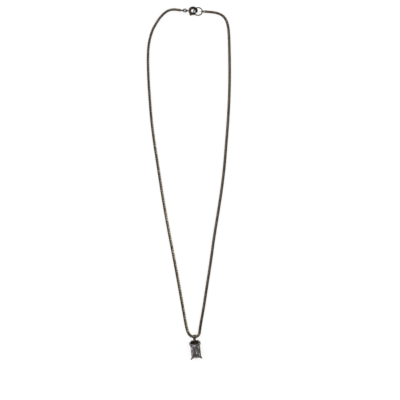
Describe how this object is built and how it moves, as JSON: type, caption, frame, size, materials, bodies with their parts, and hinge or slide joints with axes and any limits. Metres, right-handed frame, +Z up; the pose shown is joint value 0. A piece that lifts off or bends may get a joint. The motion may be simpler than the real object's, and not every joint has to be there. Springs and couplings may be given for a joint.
{
  "type": "pendant necklace",
  "caption": "Fine box chain with a spring ring clasp and a rectangular stone pendant in a claw basket, laid flat.",
  "frame": {"origin": "on the table under the middle of the necklace's box, as it lies flat", "axes": "+Z up off the table, +Y from the pendant towards the clasp, +X to the right seen from above"},
  "size_m": [0.0474, 0.199, 0.0052],
  "materials": {
    "dark_silver": "polished, darkly tarnished",
    "chain_metal": "polished, darkly tarnished",
    "spring_steel": "bright",
    "clear_stone": "faceted and polished"
  },
  "bodies": {
    "chain_bottom": {"chain_bottom": "chain_metal"},
    "chain_left_side_1": {"chain_left_side_1": "chain_metal"},
    "chain_left_side_2": {"chain_left_side_2": "chain_metal"},
    "chain_left_side_3": {"chain_left_side_3": "chain_metal"},
    "chain_left_side_4": {"chain_left_side_4": "chain_metal"},
    "chain_left_shoulder": {"chain_left_shoulder": "chain_metal", "left_end_loop": "dark_silver"},
    "chain_right_side_1": {"chain_right_side_1": "chain_metal"},
    "chain_right_side_2": {"chain_right_side_2": "chain_metal"},
    "chain_right_side_3": {"chain_right_side_3": "chain_metal"},
    "chain_right_side_4": {"chain_right_side_4": "chain_metal"},
    "chain_right_shoulder": {"chain_right_shoulder": "chain_metal", "right_end_loop": "dark_silver"},
    "jump_ring": {"jump_ring": "dark_silver"},
    "clasp": {"clasp_tube": "dark_silver", "clasp_eye": "dark_silver", "clasp_spring_stop": "dark_silver", "clasp_spring": "spring_steel"},
    "clasp_trigger": {"clasp_bolt": "dark_silver", "clasp_lever": "dark_silver"},
    "closing_ring": {"closing_ring": "dark_silver"},
    "bail": {"bail": "dark_silver"},
    "pendant_head": {"bail_bar": "dark_silver", "lug": "dark_silver", "upper_gallery": "dark_silver", "lower_gallery": "dark_silver", "claw_upper_left": "dark_silver", "claw_upper_right": "dark_silver", "claw_lower_left": "dark_silver", "claw_lower_right": "dark_silver", "stone": "clear_stone"}
  },
  "joints": [
    {"name": "loop_widens", "type": "hinge", "parent": "chain_bottom", "child": "chain_left_side_1", "pos_m": [-0.00129, -0.08194, 0.00087], "axis": [0, 0, 1], "range_deg": [-3, 10]},
    {"name": "left_fold_2", "type": "hinge", "parent": "chain_left_side_1", "child": "chain_left_side_2", "pos_m": [-0.00856, -0.0421, 0.00085], "axis": [0, 0, 1], "range_deg": [-7, 2]},
    {"name": "left_fold_3", "type": "hinge", "parent": "chain_left_side_2", "child": "chain_left_side_3", "pos_m": [-0.01574, -0.00225, 0.00085], "axis": [0, 0, 1], "range_deg": [-7, 2]},
    {"name": "left_fold_4", "type": "hinge", "parent": "chain_left_side_3", "child": "chain_left_side_4", "pos_m": [-0.02138, 0.03785, 0.00085], "axis": [0, 0, 1], "range_deg": [-7, 2]},
    {"name": "left_fold_5", "type": "hinge", "parent": "chain_left_side_4", "child": "chain_left_shoulder", "pos_m": [-0.02273, 0.07728, 0.00085], "axis": [0, 0, 1], "range_deg": [-3, 10]},
    {"name": "right_fold_1", "type": "hinge", "parent": "chain_bottom", "child": "chain_right_side_1", "pos_m": [0.00661, -0.07965, 0.00085], "axis": [0, 0, 1], "range_deg": [-10, 3]},
    {"name": "right_fold_2", "type": "hinge", "parent": "chain_right_side_1", "child": "chain_right_side_2", "pos_m": [0.01291, -0.03964, 0.00085], "axis": [0, 0, 1], "range_deg": [-2, 7]},
    {"name": "right_fold_3", "type": "hinge", "parent": "chain_right_side_2", "child": "chain_right_side_3", "pos_m": [0.01892, 0.0004, 0.00085], "axis": [0, 0, 1], "range_deg": [-2, 7]},
    {"name": "right_fold_4", "type": "hinge", "parent": "chain_right_side_3", "child": "chain_right_side_4", "pos_m": [0.02231, 0.04075, 0.00085], "axis": [0, 0, 1], "range_deg": [-2, 7]},
    {"name": "right_fold_5", "type": "hinge", "parent": "chain_right_side_4", "child": "chain_right_shoulder", "pos_m": [0.02262, 0.08024, 0.00081], "axis": [0, 0, 1], "range_deg": [-10, 3]},
    {"name": "jump_ring_roll", "type": "hinge", "parent": "chain_left_shoulder", "child": "jump_ring", "pos_m": [-0.00232, 0.09698, 0.0015], "axis": [1, 0, 0], "range_deg": [-20, 0]},
    {"name": "clasp_roll", "type": "hinge", "parent": "jump_ring", "child": "clasp", "pos_m": [0.0023, 0.0968, 0.00157], "axis": [1, 0, 0], "range_deg": [-20, 0]},
    {"name": "clasp_trigger", "type": "hinge", "parent": "clasp", "child": "clasp_trigger", "pos_m": [0.0023, 0.0968, 0.00157], "axis": [0, 0.3746, 0.9272], "range_deg": [-38, 0], "stiffness_Nm_per_rad": 0.0004, "springref_deg": 25, "deforming": ["clasp_spring"]},
    {"name": "closing_ring_roll", "type": "hinge", "parent": "chain_right_shoulder", "child": "closing_ring", "pos_m": [0.0051, 0.0964, 0.00167], "axis": [1, 0, 0], "range_deg": [0, 9]},
    {"name": "bail_swing", "type": "hinge", "parent": "chain_bottom", "child": "bail", "pos_m": [0.0031, -0.08675, 0.00145], "axis": [1, 0, 0], "range_deg": [-100, 90]},
    {"name": "pendant_sway", "type": "hinge", "parent": "bail", "child": "pendant_head", "pos_m": [0.0031, -0.08823, 0.00195], "axis": [0.0177, -0.1554, 0.9877], "range_deg": [-26, 20]}
  ],
  "couplings": [
    {"joint": "left_fold_2", "follows": "loop_widens", "ratio": -0.66667},
    {"joint": "left_fold_3", "follows": "loop_widens", "ratio": -0.66667},
    {"joint": "left_fold_4", "follows": "loop_widens", "ratio": -0.66667},
    {"joint": "left_fold_5", "follows": "loop_widens", "ratio": 1},
    {"joint": "right_fold_1", "follows": "loop_widens", "ratio": -1},
    {"joint": "right_fold_2", "follows": "loop_widens", "ratio": 0.66667},
    {"joint": "right_fold_3", "follows": "loop_widens", "ratio": 0.66667},
    {"joint": "right_fold_4", "follows": "loop_widens", "ratio": 0.66667},
    {"joint": "right_fold_5", "follows": "loop_widens", "ratio": -1}
  ]
}
